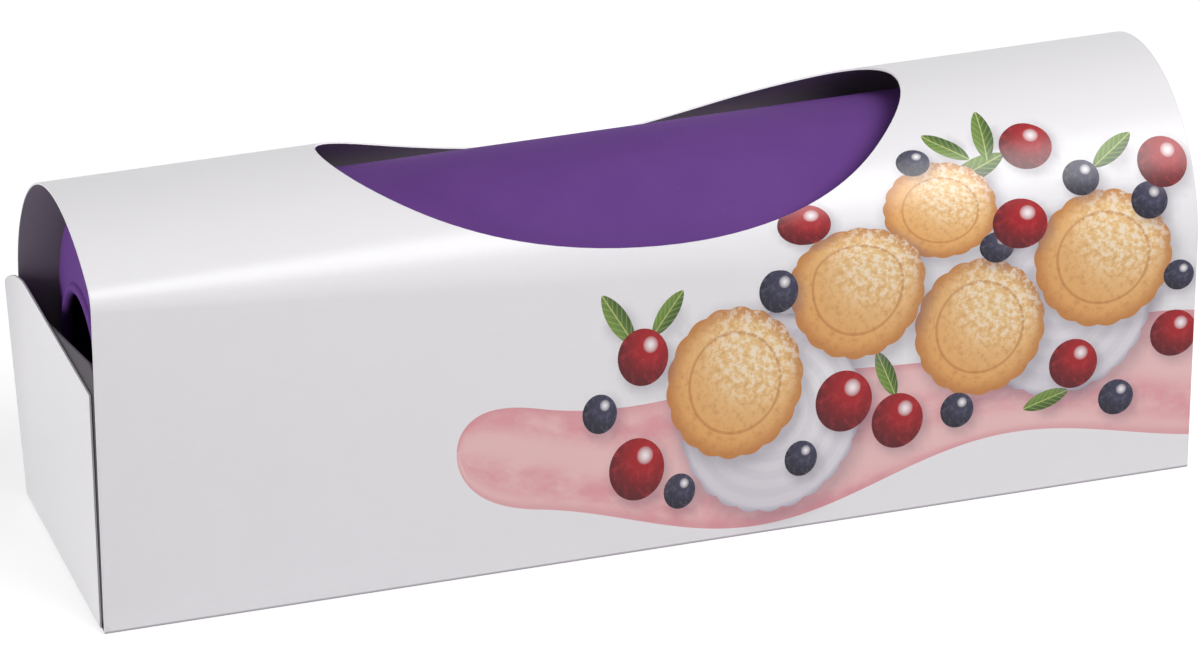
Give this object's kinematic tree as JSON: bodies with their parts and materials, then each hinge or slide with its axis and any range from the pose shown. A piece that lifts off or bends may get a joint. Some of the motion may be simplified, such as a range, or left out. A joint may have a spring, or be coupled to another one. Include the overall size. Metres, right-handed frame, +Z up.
{
  "type": "jelly roll pan",
  "caption": "Silicone jelly roll pan, curled into an arch inside its tall arch-topped paperboard display carton with a lens-shaped window and half-open ends.",
  "frame": {"origin": "middle of the carton's underside, on the surface it stands on", "axes": "+X along the carton to the viewer's right when the long printed wall faces the viewer, +Y to the rear, +Z up"},
  "size_m": [0.3648, 0.0988, 0.1274],
  "materials": {
    "board": "solid paperboard, white and gloss-coated outside, plain grey-white inside",
    "silicone": "purple satin silicone"
  },
  "bodies": {
    "carton": {"wrap_panel": "board", "bottom_panel": "board", "seam_flap": "board"},
    "left_end": {"left_end_panel": "board"},
    "right_end": {"right_end_panel": "board"},
    "left_front_flap": {"left_front_dust_flap": "board"},
    "left_rear_flap": {"left_rear_dust_flap": "board"},
    "right_front_flap": {"right_front_dust_flap": "board"},
    "right_rear_flap": {"right_rear_dust_flap": "board"},
    "pan": {"silicone_pan": "silicone"}
  },
  "joints": [
    {"name": "left_end_fold", "type": "hinge", "parent": "carton", "child": "left_end", "pos_m": [-0.1783, 0, 0.0003], "axis": [0, -1, 0], "range_deg": [0, 86.5]},
    {"name": "right_end_fold", "type": "hinge", "parent": "carton", "child": "right_end", "pos_m": [0.1783, 0, 0.0003], "axis": [0, 1, 0], "range_deg": [0, 86.5]},
    {"name": "left_front_flap_fold", "type": "hinge", "parent": "carton", "child": "left_front_flap", "pos_m": [-0.1779, -0.0487, 0], "axis": [0, 0, 1], "range_deg": [0, 27]},
    {"name": "left_rear_flap_fold", "type": "hinge", "parent": "carton", "child": "left_rear_flap", "pos_m": [-0.1779, 0.0487, 0], "axis": [0, 0, -1], "range_deg": [0, 27]},
    {"name": "right_front_flap_fold", "type": "hinge", "parent": "carton", "child": "right_front_flap", "pos_m": [0.1779, -0.0487, 0], "axis": [0, 0, -1], "range_deg": [0, 27]},
    {"name": "right_rear_flap_fold", "type": "hinge", "parent": "carton", "child": "right_rear_flap", "pos_m": [0.1779, 0.0487, 0], "axis": [0, 0, 1], "range_deg": [0, 27]},
    {"name": "pan_slide", "type": "slide", "parent": "carton", "child": "pan", "axis": [1, 0, 0], "range_m": [-0.006, 0.006]}
  ],
  "couplings": [
    {"joint": "left_front_flap_fold", "follows": "left_end_fold", "ratio": 0.3},
    {"joint": "left_rear_flap_fold", "follows": "left_end_fold", "ratio": 0.3},
    {"joint": "right_front_flap_fold", "follows": "right_end_fold", "ratio": 0.3},
    {"joint": "right_rear_flap_fold", "follows": "right_end_fold", "ratio": 0.3}
  ]
}
